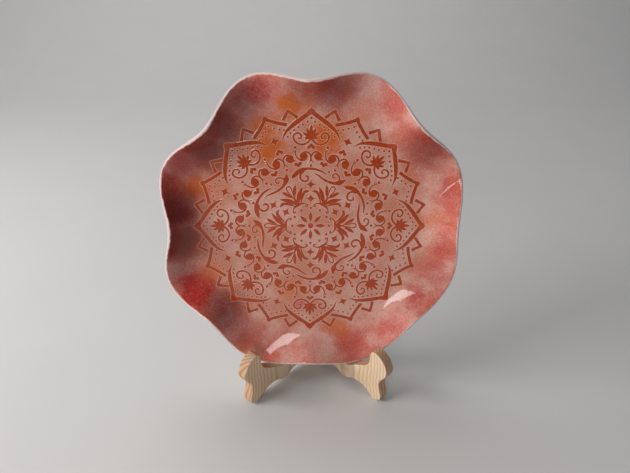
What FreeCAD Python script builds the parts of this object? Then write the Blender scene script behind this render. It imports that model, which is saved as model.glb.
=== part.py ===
"""Hand painted ceramic plate, leaning on a folding pine display stand.

Frame: +Z up, -Y towards the viewer, +X to the viewer's right, millimetres.
The origin is on the table, at the centre of the object's bounding box.

The stand is two equal boards joined along their rear edges by two brass butt
hinges. Each board is drawn in its own frame: local X runs forward from the
hinge axis, local Z is up, and the board lies on one side of the local XZ plane.
The plate is drawn face up about its own centre, with its face along local Z.
"""
import FreeCAD, Part

import math
import os

import Sketcher

V = FreeCAD.Vector
UP = V(0, 0, 1)

doc = FreeCAD.newDocument("plate_on_stand")

# ---------------------------------------------------------------- dimensions

DIMENSIONS = [
    # where the two assemblies stand
    ("hinge_axis_x", 2.4, "hinge axis, across"),
    ("hinge_axis_y", 30.3, "hinge axis, front to back"),
    ("plate_centre_x", -0.9, "centre of the plate's face, across"),
    ("plate_centre_y", 21.3, "centre of the plate's face, front to back"),
    ("plate_centre_z", 175.4, "height of the centre of the plate's face"),
    ("plate_lean", 9.0, "lean of the plate from upright, degrees"),
    ("plate_turn", 0.9, "plate turned clockwise in its own plane, degrees"),
    ("opening", 86.0, "angle between the two boards on display, degrees"),
    # plate
    ("well_radius", 106.0, "flat well of the plate, radius"),
    ("lip_radius", 142.6, "mean radius of the lip"),
    ("lip_wave", 7.3, "how far the lobes stand out and the notches in"),
    ("lip_height", 14.5, "mean height of the lip over the well"),
    ("lip_height_wave", 6.5, "how much the notches stand higher than the lobes"),
    ("lobe_count", 8, "lobes round the rim"),
    ("well_thickness", 6.0, "thickness of the well"),
    ("lip_thickness", 4.2, "thickness of the lip"),
    ("rim_curve", 1.7, "exponent of the curve from well to lip"),
    ("core_radius", 60.0, "flat disc inside the lofted part"),
    ("foot_ring_radius", 80.0, "outer radius of the foot ring"),
    ("foot_ring_width", 6.0, "width of the foot ring"),
    ("foot_ring_drop", 3.0, "foot ring below the well's underside"),
    # boards
    ("board_thickness", 11.2, "thickness of each board"),
    ("board_gap", 0.3, "half the gap between the boards when folded flat"),
    ("rear_edge", 2.5, "rear edge of the board, forward of the hinge axis"),
    ("board_middle", 46.5, "middle of the under-edge, forward of the axis"),
    ("toe_reach", 90.5, "front of the toe's flat, forward of the axis"),
    ("arch_height", 9.5, "height of the two arches of the under-edge"),
    ("arch_radius", 24.0, "radius of those arches"),
    ("drop_height", 4.2, "clearance under the rounded drop between them"),
    ("drop_radius", 12.0, "radius of that drop"),
    ("ledge_front", 72.5, "front end of the ledge, forward of the axis"),
    ("ledge_front_z", 35.6, "height of the ledge's front end"),
    ("ledge_slope", 30.0, "fall of the ledge towards the back, degrees"),
    ("throat_radius", 16.0, "hollow between the ledge and the post"),
    ("post_top_z", 114.0, "height of the post"),
    ("post_top_width", 10.9, "width of the post at its shoulder"),
    # hinges
    ("lower_hinge_z", 30.0, "height of the lower hinge's middle"),
    ("upper_hinge_z", 86.0, "height of the upper hinge's middle"),
    ("hinge_length", 25.0, "length of a hinge along its pin"),
    ("knuckle_count", 5, "knuckles of a hinge, the left leaf has one more"),
    ("knuckle_radius", 2.1, "outer radius of a knuckle"),
    ("knuckle_gap", 0.2, "gap between knuckles along the pin"),
    ("leaf_thickness", 1.2, "thickness of a leaf"),
    ("leaf_width", 10.6, "leaf, from the axis to its free edge"),
    ("pin_radius", 1.0, "radius of a hinge pin"),
    ("pin_clearance", 0.05, "radial clearance of the pin in its knuckles"),
    ("pin_head_radius", 1.9, "radius of the pin's two heads"),
    ("pin_head_height", 0.9, "height of each head"),
    # screws
    ("screw_spacing", 14.0, "spacing of a leaf's two screws"),
    ("screw_offset", 6.2, "screws, sideways from the axis"),
    ("screw_radius", 1.1, "radius of the screw's shank"),
    ("screw_length", 11.0, "length of the screw with its head"),
    ("screw_head_radius", 2.1, "radius of the countersunk head"),
    ("slot_width", 0.6, "width of the driver slot"),
    ("slot_depth", 0.5, "depth of the driver slot"),
]

sheet = doc.addObject("Spreadsheet::Sheet", "Dimensions")
for row, (alias, value, meaning) in enumerate(DIMENSIONS, start=1):
    sheet.set(f"A{row}", meaning)
    sheet.set(f"B{row}", str(value))
    sheet.setAlias(f"B{row}", alias)
doc.recompute()


def dim(alias):
    return float(sheet.get(alias))


def bind(thing, prop, expression):
    """Tie a property to the sheet; {name} stands for the cell called name."""
    text = expression
    for alias, _value, _meaning in DIMENSIONS:
        text = text.replace("{" + alias + "}", "Dimensions." + alias)
    thing.setExpression(prop, text)


SUBPARTS = []


def subpart(thing, label):
    thing.Label = label
    SUBPARTS.append(thing)
    return thing


# --------------------------------------------------------------------- plate

LIP_POINTS = 64


def lip_radius_at(angle):
    """Radius of the lip: eight lobes, and the slight unevenness of hand work."""
    uneven = 2.5 * math.sin(angle) - 2.4 * math.cos(angle) + 2.1 * math.cos(2 * angle)
    wave = (1 - 0.15 * math.sin(angle)) * math.cos(dim("lobe_count") * angle)
    return dim("lip_radius") - dim("lip_wave") * wave + uneven


def lip_height_at(angle):
    wave = math.cos(dim("lobe_count") * angle)
    return dim("lip_height") + dim("lip_height_wave") * wave


def face_point(angle, share):
    """Radius and height of the plate's upper face, share 0 at the well's edge to 1 at the lip."""
    inner = dim("well_radius")
    radius = inner + (lip_radius_at(angle) - inner) * share
    return radius, lip_height_at(angle) * share ** dim("rim_curve")


def face_slope(angle, share):
    inner = dim("well_radius")
    run = lip_radius_at(angle) - inner
    curve = dim("rim_curve")
    return math.atan(lip_height_at(angle) * curve * share ** (curve - 1) / run)


def under_point(angle, share):
    """The underside, one wall thickness from the upper face, square to it."""
    radius, height = face_point(angle, share)
    slope = face_slope(angle, share)
    thick = dim("well_thickness") + (dim("lip_thickness") - dim("well_thickness")) * share
    return radius + thick * math.sin(slope), height - thick * math.cos(slope)


def lip_point(angle):
    """The outermost line of the rounded lip."""
    radius, height = face_point(angle, 1)
    slope = face_slope(angle, 1)
    half = dim("lip_thickness") / 2
    across = radius + half * math.sin(slope)
    up = height - half * math.cos(slope)
    return across + half * math.cos(slope), up + half * math.sin(slope)


def ring_points(point_at):
    """Points round the plate, clockwise from its top as seen from its face."""
    points = []
    for step in range(LIP_POINTS):
        angle = 2 * math.pi * step / LIP_POINTS
        radius, height = point_at(angle)
        points.append(V(radius * math.sin(angle), radius * math.cos(angle), height))
    return points


def skin(rings):
    """A smooth surface through closed rings of points, periodic round the plate."""
    turn = [float(step) for step in range(LIP_POINTS + 1)]
    around = []
    for points in rings:
        curve = Part.BSplineCurve()
        curve.interpolate(Points=points, PeriodicFlag=True, Parameters=turn)
        around.append(curve)

    across = [0.0]
    for inner, outer in zip(rings, rings[1:]):
        gaps = [(q - p).Length for p, q in zip(inner, outer)]
        across.append(across[-1] + sum(gaps) / len(gaps))

    net = []
    for column in zip(*[curve.getPoles() for curve in around]):
        curve = Part.BSplineCurve()
        curve.interpolate(Points=list(column), Parameters=across)
        net.append(curve.getPoles())
    surface = Part.BSplineSurface()
    surface.buildFromPolesMultsKnots(
        net, around[0].getMultiplicities(), curve.getMultiplicities(),
        around[0].getKnots(), curve.getKnots(), True, False, 3, 3)
    return surface


def plate_body():
    """Both faces of the plate and its rounded lip as one skin, closed by two flat discs."""
    under = -dim("well_thickness")
    core, well = dim("core_radius"), dim("well_radius")
    steps = (core + (well - core) / 3, core + (well - core) * 2 / 3)
    shares = [0.0, 0.15, 0.3, 0.45, 0.6, 0.75, 0.9, 1.0]
    rings = [ring_points(lambda a, r=r: (r, under)) for r in (core, *steps)]
    rings += [ring_points(lambda a, s=s: under_point(a, s)) for s in shares]
    rings.append(ring_points(lip_point))
    rings += [ring_points(lambda a, s=s: face_point(a, s)) for s in reversed(shares)]
    rings += [ring_points(lambda a, r=r: (r, 0.0)) for r in (*reversed(steps), core)]
    side = skin(rings).toShape()
    openings = [edge for edge in side.Edges if edge.isClosed()]
    discs = [Part.Face(Part.Wire([edge])) for edge in openings]
    shell = Part.makeShell([*side.Faces, *discs])
    shell.sewShape()
    return Part.makeSolid(shell)


def plate():
    shell = doc.addObject("Part::Feature", "PlateShell")
    shell.Shape = plate_body()
    # clockwise, seen from the face
    shell.Placement = FreeCAD.Placement(V(0, 0, 0), FreeCAD.Rotation(V(0, 0, -1), dim("plate_turn")))
    bind(shell, "Placement.Rotation.Angle", "{plate_turn}")

    ring = doc.addObject("Part::Cylinder", "FootRingOutside")
    bind(ring, "Radius", "{foot_ring_radius}")
    bind(ring, "Height", "{foot_ring_drop} + 1")
    hole = doc.addObject("Part::Cylinder", "FootRingInside")
    bind(hole, "Radius", "{foot_ring_radius} - {foot_ring_width}")
    bind(hole, "Height", "{foot_ring_drop} + 1")
    for cylinder in (ring, hole):
        bind(cylinder, "Placement.Base.z", "-{well_thickness} - {foot_ring_drop}")
    foot = doc.addObject("Part::Cut", "FootRing")
    foot.Base = ring
    foot.Tool = hole

    whole = doc.addObject("Part::Fuse", "Plate")
    whole.Base = shell
    whole.Tool = foot
    whole.Refine = True
    # local Z, the way the face looks, turns to -Y and a little up
    whole.Placement = FreeCAD.Placement(V(0, 0, 0), FreeCAD.Rotation(V(1, 0, 0), 90 - dim("plate_lean")))
    bind(whole, "Placement.Base.x", "{plate_centre_x}")
    bind(whole, "Placement.Base.y", "{plate_centre_y}")
    bind(whole, "Placement.Base.z", "{plate_centre_z}")
    bind(whole, "Placement.Rotation.Angle", "90 - {plate_lean}")
    return subpart(whole, "plate")


# -------------------------------------------------------------------- boards


def front_edge():
    """Toe, waist, bulge and hook: one smooth line from the toe's flat to the ledge."""
    toe = dim("toe_reach")
    return [
        V(toe, 0, 0), V(toe + 4.9, 3.4, 0), V(toe + 5.8, 8.6, 0), V(toe + 3.6, 17.0, 0),
        V(toe + 2.6, 23.8, 0), V(toe + 4.8, 29.2, 0), V(toe + 9.2, 35.4, 0),
        V(toe + 10.9, 42.0, 0), V(toe + 9.2, 48.6, 0), V(toe + 5.2, 54.2, 0),
        V(toe - 0.6, 58.2, 0), V(toe - 5.8, 59.3, 0), V(toe - 9.8, 56.6, 0),
        V(toe - 10.9, 50.6, 0), V(toe - 11.4, 44.4, 0), V(toe - 14.0, 38.9, 0),
        V(dim("ledge_front"), dim("ledge_front_z"), 0),
    ]


def throat(lean):
    """Ends and middle of the arc that is tangent to the ledge and to the leaning post."""
    slope = math.radians(dim("ledge_slope"))
    radius = dim("throat_radius")
    ledge = V(dim("ledge_front"), dim("ledge_front_z"), 0)
    forward = V(math.cos(slope), math.sin(slope), 0)
    upward = V(-math.sin(lean), math.cos(lean), 0)
    top = post_shoulder()
    # where the ledge's line meets the post's line
    gap = top - ledge
    along = (gap.x * upward.y - gap.y * upward.x) / (forward.x * upward.y - forward.y * upward.x)
    corner = ledge + forward * along
    half = forward.getAngle(upward) / 2
    reach = radius / math.tan(half)
    bisector = (forward + upward).normalize()
    middle = corner + bisector * (radius / math.sin(half) - radius)
    return corner + forward * reach, middle, corner + upward * reach


def post_shoulder():
    """Where the post's front meets its rounded top."""
    round_height = dim("post_top_width") / 2
    return V(dim("rear_edge") + dim("post_top_width"), dim("post_top_z") - round_height, 0)


def front_curve():
    curve = Part.BSplineCurve()
    slope = math.radians(dim("ledge_slope"))
    curve.interpolate(Points=front_edge(), InitialTangent=V(8, 1, 0),
                      FinalTangent=V(-math.cos(slope), -math.sin(slope), 0))
    return curve


def board_outline(sketch):
    """The board's side view, drawn forward (x) and up (y)."""
    middle, rear = dim("board_middle"), dim("rear_edge")
    arch_r, drop_r = dim("arch_radius"), dim("drop_radius")
    arch_centre_z = dim("arch_height") - arch_r
    drop_centre_z = dim("drop_height") + drop_r
    reach = math.sqrt((arch_r + drop_r) ** 2 - (drop_centre_z - arch_centre_z) ** 2)
    half_span = math.sqrt(arch_r ** 2 - arch_centre_z ** 2)
    touch = drop_r / (arch_r + drop_r)
    meet_x = reach * touch
    meet_z = drop_centre_z + (arch_centre_z - drop_centre_z) * touch

    lean = math.atan(math.tan(math.radians(dim("plate_lean")))
                     / math.cos(math.radians(dim("opening") / 2)))
    shoulder = post_shoulder()
    throat_front, throat_middle, throat_back = throat(lean)

    def arc(start, through, end):
        return Part.Arc(V(*start, 0), V(*through, 0), V(*end, 0))

    front = front_edge()
    heel = (middle + reach + half_span, 0)
    rear_heel = (middle - reach - half_span, 0)
    top = (shoulder.x / 2 + rear / 2, dim("post_top_z"))
    pieces = [
        Part.LineSegment(V(rear, 0, 0), V(*rear_heel, 0)),
        arc(rear_heel, (middle - reach, dim("arch_height")), (middle - meet_x, meet_z)),
        arc((middle - meet_x, meet_z), (middle, dim("drop_height")), (middle + meet_x, meet_z)),
        arc((middle + meet_x, meet_z), (middle + reach, dim("arch_height")), heel),
        Part.LineSegment(V(*heel, 0), front[0]),
        front_curve(),
        Part.LineSegment(front[-1], throat_front),
        Part.Arc(throat_front, throat_middle, throat_back),
        Part.LineSegment(throat_back, shoulder),
        arc((shoulder.x, shoulder.y), top, (rear, shoulder.y)),
        Part.LineSegment(V(rear, shoulder.y, 0), V(rear, 0, 0)),
    ]
    sketch.addGeometry(pieces, False)
    joints = join_ends(sketch, len(pieces))
    arcs = ((1, "arch_radius"), (2, "drop_radius"), (3, "arch_radius"), (7, "throat_radius"))
    for arc_index, cell in arcs:
        rule(sketch, Sketcher.Constraint("Radius", arc_index, dim(cell)), cell, "{" + cell + "}")
    bound = {
        0: ("{rear_edge}", None),
        5: ("{toe_reach}", None),
        6: ("{ledge_front}", "{ledge_front_z}"),
        9: ("{rear_edge} + {post_top_width}", "{post_top_z} - {post_top_width} / 2"),
        10: ("{rear_edge}", "{post_top_z} - {post_top_width} / 2"),
    }
    for index, (geometry, end) in enumerate(joints):
        point = sketch.getPoint(geometry, end)
        across, up = bound.get(index, (None, None))
        rule(sketch, Sketcher.Constraint("DistanceX", -1, 1, geometry, end, point.x), "x", across)
        if abs(point.y) < 1e-6:
            sketch.addConstraint(Sketcher.Constraint("PointOnObject", geometry, end, -1))
        else:
            rule(sketch, Sketcher.Constraint("DistanceY", -1, 1, geometry, end, point.y), "y", up)
    if sketch.solve() != 0:
        raise RuntimeError("the board's outline does not solve")


def join_ends(sketch, count):
    """Join each piece to the one before it; returns the joined end of every piece."""
    joints = []
    for index in range(count):
        before = (index - 1) % count
        pairs = [(one, two) for one in (1, 2) for two in (1, 2)]
        one, two = min(pairs, key=lambda ends: (
            sketch.getPoint(before, ends[0]) - sketch.getPoint(index, ends[1])).Length)
        sketch.addConstraint(Sketcher.Constraint("Coincident", before, one, index, two))
        joints.append((index, two))
    return joints


def rule(sketch, constraint, word, expression):
    """Add a size to a sketch, tied to the sheet where an expression is given."""
    index = sketch.addConstraint(constraint)
    if expression:
        title = f"{word}_{index}"
        sketch.renameConstraint(index, title)
        bind(sketch, "Constraints." + title, expression)


def origin_plane(body, role):
    for feature in body.Origin.OriginFeatures:
        if feature.Role == role:
            return feature
    raise ValueError(role)


def board(label, side):
    """side is -1 for the left board and +1 for the right one."""
    name = "LeftBoard" if side < 0 else "RightBoard"
    body = doc.addObject("PartDesign::Body", name)
    sketch = body.newObject("Sketcher::SketchObject", name + "Outline")
    sketch.AttachmentSupport = [(origin_plane(body, "XZ_Plane"), "")]
    sketch.MapMode = "FlatFace"
    # the XZ plane's normal is -Y, so the offset along it is turned round
    near = "{board_gap}" if side < 0 else "-{board_gap}"
    bind(sketch, "AttachmentOffset.Base.z", near)
    board_outline(sketch)

    pad = body.newObject("PartDesign::Pad", name + "Pad")
    pad.Profile = sketch
    bind(pad, "Length", "{board_thickness}")
    pad.Reversed = side > 0
    doc.recompute()

    solid = pad
    for hinge_z in ("{lower_hinge_z}", "{upper_hinge_z}"):
        solid = pilot_holes(body, name, solid, hinge_z, side)

    body.Placement = FreeCAD.Placement(V(0, 0, 0), FreeCAD.Rotation(UP, -90 + side * dim("opening") / 2))
    place_on_hinge(body, side)
    return subpart(body, label)


def pilot_holes(body, name, solid, hinge_z, side):
    """Two screw holes in the rear edge, the size of the screws' shanks."""
    tag = name + ("Lower" if "lower" in hinge_z else "Upper")
    sketch = body.newObject("Sketcher::SketchObject", tag + "Holes")
    sketch.AttachmentSupport = [(origin_plane(body, "YZ_Plane"), "")]
    sketch.MapMode = "FlatFace"
    bind(sketch, "AttachmentOffset.Base.z", "{rear_edge}")
    for end in (-1, 1):
        height = dim("lower_hinge_z") if "lower" in hinge_z else dim("upper_hinge_z")
        centre = V(side * dim("screw_offset"), height + end * dim("screw_spacing") / 2, 0)
        circle = sketch.addGeometry(Part.Circle(centre, V(0, 0, 1), dim("screw_radius")), False)
        sign = "+" if end > 0 else "-"
        rule(sketch, Sketcher.Constraint("DistanceX", -1, 1, circle, 3, centre.x),
             "across", f"{side} * " + "{screw_offset}")
        rule(sketch, Sketcher.Constraint("DistanceY", -1, 1, circle, 3, centre.y),
             "height", f"{hinge_z} {sign} " + "{screw_spacing} / 2")
        rule(sketch, Sketcher.Constraint("Radius", circle, dim("screw_radius")),
             "radius", "{screw_radius}")
    before = solid.Shape.Volume
    pocket = body.newObject("PartDesign::Pocket", tag + "Pocket")
    pocket.Profile = sketch
    bind(pocket, "Length", "{screw_length} - {leaf_thickness}")
    pocket.Reversed = True
    doc.recompute()
    if pocket.Shape.Volume > before - 1:
        raise RuntimeError(tag + " cut nothing")
    return pocket


def place_on_hinge(thing, side):
    bind(thing, "Placement.Base.x", "{hinge_axis_x}")
    bind(thing, "Placement.Base.y", "{hinge_axis_y}")
    sign = "-" if side < 0 else "+"
    bind(thing, "Placement.Rotation.Angle", "360 - 90 " + sign + " {opening} / 2")


# -------------------------------------------------------------------- hinges


def cylinder(name, radius, height, low):
    thing = doc.addObject("Part::Cylinder", name)
    bind(thing, "Radius", radius)
    bind(thing, "Height", height)
    bind(thing, "Placement.Base.z", low)
    return thing


def fuse(name, pieces):
    thing = doc.addObject("Part::MultiFuse", name)
    thing.Shapes = pieces
    return thing


def cut(name, base, tool):
    thing = doc.addObject("Part::Cut", name)
    thing.Base = base
    thing.Tool = tool
    return thing


def set_on_hinge(thing, side):
    thing.Placement = FreeCAD.Placement(V(0, 0, 0), FreeCAD.Rotation(UP, -90 + side * dim("opening") / 2))
    place_on_hinge(thing, side)


def leaf(hinge, side):
    """A leaf screwed on its board's rear edge, rolled round the pin in its own knuckles."""
    word = "left" if side < 0 else "right"
    tag = hinge.capitalize() + word.capitalize()
    bottom = "{" + hinge + "_hinge_z} - {hinge_length} / 2"
    pitch = "{hinge_length} / {knuckle_count}"

    flat = doc.addObject("Part::Box", tag + "Flat")
    bind(flat, "Length", "{leaf_thickness}")
    bind(flat, "Width", "{leaf_width}")
    bind(flat, "Height", "{hinge_length}")
    bind(flat, "Placement.Base.x", "{rear_edge} - {leaf_thickness}")
    bind(flat, "Placement.Base.y", "0" if side > 0 else "-{leaf_width}")
    bind(flat, "Placement.Base.z", bottom)

    own, others = [], []
    for number in range(int(dim("knuckle_count"))):
        low = f"{bottom} + {number} * {pitch}"
        mine = (number % 2 == 0) == (side < 0)
        if mine:
            name = f"{tag}Knuckle{number}"
            own.append(cylinder(name, "{knuckle_radius}", f"{pitch} - " + "{knuckle_gap}",
                                f"{low} + " + "{knuckle_gap} / 2"))
        else:
            name = f"{tag}Room{number}"
            others.append(cylinder(name, "{knuckle_radius} + 0.35", f"{pitch} + " + "{knuckle_gap}",
                                   f"{low} - " + "{knuckle_gap} / 2"))
    bored = cut(tag + "Notched", flat, fuse(tag + "Rooms", others))
    rolled = fuse(tag + "Rolled", [bored] + own)
    bore = cylinder(tag + "Bore", "{pin_radius} + {pin_clearance}", "{hinge_length} + 2", bottom + " - 1")
    sinks = [countersink(f"{tag}Sink{end}", hinge, side, end) for end in (0, 1)]
    whole = cut(tag + "Leaf", rolled, fuse(tag + "Holes", [bore] + sinks))
    set_on_hinge(whole, side)
    return subpart(whole, f"{hinge}_hinge_{word}_leaf")


def along_board(thing, hinge, side, end, start):
    """Lay a turned piece along the board, its base at start forward of the axis."""
    thing.Placement = FreeCAD.Placement(V(0, 0, 0), FreeCAD.Rotation(V(0, 1, 0), 90))
    sign = "+" if end else "-"
    bind(thing, "Placement.Base.x", start)
    bind(thing, "Placement.Base.y", f"{side} * " + "{screw_offset}")
    bind(thing, "Placement.Base.z", "{" + hinge + "_hinge_z} " + sign + " {screw_spacing} / 2")
    return thing


def countersink(name, hinge, side, end):
    cone = doc.addObject("Part::Cone", name)
    bind(cone, "Radius1", "{screw_head_radius}")
    bind(cone, "Radius2", "{screw_radius}")
    bind(cone, "Height", "{leaf_thickness}")
    return along_board(cone, hinge, side, end, "{rear_edge} - {leaf_thickness}")


def pin(hinge):
    tag = hinge.capitalize() + "Pin"
    middle = "{" + hinge + "_hinge_z}"
    length = "{hinge_length}"
    shaft = cylinder(tag + "Shaft", "{pin_radius}", length, f"{middle} - ({length}) / 2")
    top = cylinder(tag + "Top", "{pin_head_radius}", "{pin_head_height}", f"{middle} + ({length}) / 2")
    foot = cylinder(tag + "Foot", "{pin_head_radius}", "{pin_head_height}",
                    f"{middle} - ({length}) / 2 - " + "{pin_head_height}")
    whole = fuse(tag, [shaft, top, foot])
    bind(whole, "Placement.Base.x", "{hinge_axis_x}")
    bind(whole, "Placement.Base.y", "{hinge_axis_y}")
    return subpart(whole, f"{hinge}_hinge_pin")


def screw(hinge, side, end):
    """A slotted countersunk wood screw, its head flush with the leaf."""
    word = "left" if side < 0 else "right"
    tag = f"{hinge.capitalize()}{word.capitalize()}Screw{end}"
    head = countersink(tag + "Head", hinge, side, end)
    shank = doc.addObject("Part::Cylinder", tag + "Shank")
    bind(shank, "Radius", "{screw_radius}")
    bind(shank, "Height", "{screw_length} - {leaf_thickness} - 2")
    along_board(shank, hinge, side, end, "{rear_edge}")
    point = doc.addObject("Part::Cone", tag + "Point")
    bind(point, "Radius1", "{screw_radius}")
    bind(point, "Radius2", "0.1")
    bind(point, "Height", "2")
    along_board(point, hinge, side, end, "{rear_edge} + {screw_length} - {leaf_thickness} - 2")

    slot = doc.addObject("Part::Box", tag + "Slot")
    bind(slot, "Length", "{slot_depth}")
    bind(slot, "Width", "3 * {screw_head_radius}")
    bind(slot, "Height", "{slot_width}")
    sign = "+" if end else "-"
    bind(slot, "Placement.Base.x", "{rear_edge} - {leaf_thickness}")
    bind(slot, "Placement.Base.y", f"{side} * " + "{screw_offset} - 1.5 * {screw_head_radius}")
    bind(slot, "Placement.Base.z",
         "{" + hinge + "_hinge_z} " + sign + " {screw_spacing} / 2 - {slot_width} / 2")
    whole = cut(tag, fuse(tag + "Solid", [head, shank, point]), slot)
    set_on_hinge(whole, side)
    place = "top" if end else "bottom"
    return subpart(whole, f"{hinge}_{word}_{place}_screw")


# ------------------------------------------------------------------ assembly

plate()
board("left_side_panel", -1)
board("right_side_panel", 1)
for hinge_name in ("upper", "lower"):
    leaf(hinge_name, -1)
    leaf(hinge_name, 1)
    pin(hinge_name)
    for board_side in (-1, 1):
        for screw_end in (1, 0):
            screw(hinge_name, board_side, screw_end)

doc.recompute()

for thing in doc.Objects:
    if "Invalid" in thing.State or "Error" in thing.State:
        raise RuntimeError(f"{thing.Name} did not build: {thing.State}")
for thing in SUBPARTS:
    if thing.Shape.isNull() or not thing.Shape.isValid():
        raise RuntimeError(f"{thing.Label} has no valid shape")

os.makedirs("parts", exist_ok=True)
for thing in SUBPARTS:
    thing.Shape.exportStep(os.path.join("parts", thing.Label + ".step"))
    box = thing.Shape.BoundBox
    print(f"{thing.Label}: volume {thing.Shape.Volume:.1f}, "
          f"x {box.XMin:.2f} to {box.XMax:.2f}, y {box.YMin:.2f} to {box.YMax:.2f}, "
          f"z {box.ZMin:.2f} to {box.ZMax:.2f}")
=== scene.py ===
"""Looks of the painted plate on its folding pine stand.

Metres throughout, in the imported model's own frame: +Z up, -Y towards the
viewer, +X to the viewer's right. The plate and its painting are built in the
plate's own frame, whose +Z is the way the face looks and whose +Y is its top.
"""

import math

import bpy
from mathutils import Matrix, Vector, noise


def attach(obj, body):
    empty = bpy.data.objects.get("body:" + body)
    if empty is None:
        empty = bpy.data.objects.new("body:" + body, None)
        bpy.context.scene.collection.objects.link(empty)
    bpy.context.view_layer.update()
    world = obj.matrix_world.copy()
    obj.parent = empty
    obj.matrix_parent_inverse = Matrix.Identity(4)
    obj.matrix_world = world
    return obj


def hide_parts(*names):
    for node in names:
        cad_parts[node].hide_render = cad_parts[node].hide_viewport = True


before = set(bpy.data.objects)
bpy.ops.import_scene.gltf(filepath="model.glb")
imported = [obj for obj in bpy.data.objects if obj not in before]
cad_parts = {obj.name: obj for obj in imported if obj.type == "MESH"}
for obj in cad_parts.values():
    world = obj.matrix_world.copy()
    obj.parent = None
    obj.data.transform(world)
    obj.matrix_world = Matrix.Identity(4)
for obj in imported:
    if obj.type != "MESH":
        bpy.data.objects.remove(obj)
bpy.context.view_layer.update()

MM = 0.001

# --------------------------------------------------------------- the plate's frame

PLATE_CENTRE = Vector((-0.9, 21.3, 175.4)) * MM
PLATE_LEAN = math.radians(9)
PLATE_TURN = math.radians(0.9)
PLATE_FRAME = (
    Matrix.Translation(PLATE_CENTRE)
    @ Matrix.Rotation(math.pi / 2 - PLATE_LEAN, 4, "X")
    @ Matrix.Rotation(-PLATE_TURN, 4, "Z")
)

# The plate's own sizes, in mm, but for the count of lobes and the power of the rim's curve.
WELL_RADIUS = 106.0
LIP_RADIUS = 142.6
LIP_WAVE = 7.3
LIP_HEIGHT = 14.5
LIP_HEIGHT_WAVE = 6.5
LOBES = 8
WELL_THICKNESS = 6.0
LIP_THICKNESS = 4.2
RIM_CURVE = 1.7
FOOT_OUTER = 80.0
FOOT_INNER = 74.0
FOOT_DROP = 3.0


def lip_radius_at(angle):
    """Radius of the lip in mm: eight lobes, and the unevenness of hand work."""
    uneven = 2.5 * math.sin(angle) - 2.4 * math.cos(angle) + 2.1 * math.cos(2 * angle)
    wave = (1 - 0.15 * math.sin(angle)) * math.cos(LOBES * angle)
    return LIP_RADIUS - LIP_WAVE * wave + uneven


def lip_height_at(angle):
    """Height of the lip over the well in mm: low at the lobes and high between them."""
    return LIP_HEIGHT + LIP_HEIGHT_WAVE * math.cos(LOBES * angle)


def rim_run(angle):
    """How far the rim reaches out from the well's edge, in mm."""
    return lip_radius_at(angle) - WELL_RADIUS


def face_height(radius, angle):
    """Height of the painted face over the well, in mm."""
    share = max(0.0, radius - WELL_RADIUS) / rim_run(angle)
    return lip_height_at(angle) * share ** RIM_CURVE


def face_slope(angle, share):
    """Slope of the rim in radians, at that share of the way out to the lip."""
    rise = lip_height_at(angle) * RIM_CURVE * share ** (RIM_CURVE - 1)
    return math.atan(rise / rim_run(angle))


# ------------------------------------------------------------------- mesh helpers


def make_object(name, points, faces):
    """A smooth-shaded mesh object in the scene."""
    mesh = bpy.data.meshes.new(name)
    mesh.from_pydata(points, [], faces)
    mesh.validate()
    mesh.polygons.foreach_set("use_smooth", [True] * len(mesh.polygons))
    mesh.update()
    thing = bpy.data.objects.new(name, mesh)
    bpy.context.scene.collection.objects.link(thing)
    return thing


def on_plate(thing):
    """Puts a thing drawn in the plate's frame where the plate is, and lets it ride there.

    The attribute drawn_at keeps the drawn coordinates, which the glaze's shaders use."""
    drawn = thing.data.attributes.new("drawn_at", "FLOAT_VECTOR", "POINT")
    for spot, vertex in zip(drawn.data, thing.data.vertices):
        spot.vector = vertex.co
    thing.data.transform(PLATE_FRAME)
    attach(thing, "plate_body")


def spline(points, steps=8):
    """A smooth line through listed points, given as tuples of any length."""
    ends = [
        tuple(2 * a - b for a, b in zip(points[0], points[1])),
        tuple(2 * a - b for a, b in zip(points[-1], points[-2])),
    ]
    row = [ends[0], *points, ends[1]]
    line = []
    for before, start, end, after in zip(row, row[1:], row[2:], row[3:]):
        for step in range(steps):
            t = step / steps
            line.append(tuple(
                0.5 * (2 * q + (r - p) * t + (2 * p - 5 * q + 4 * r - s) * t * t
                       + (3 * q - p - 3 * r + s) * t ** 3)
                for p, q, r, s in zip(before, start, end, after)))
    line.append(tuple(points[-1]))
    return line


# --------------------------------------------------------------------- node helper


def srgb(red, green, blue):
    """A colour as seen, 0 to 255, turned into the linear values that a shader takes."""
    def linear(value):
        value /= 255
        return value / 12.92 if value <= 0.04045 else ((value + 0.055) / 1.055) ** 2.4
    return (linear(red), linear(green), linear(blue), 1.0)


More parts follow.
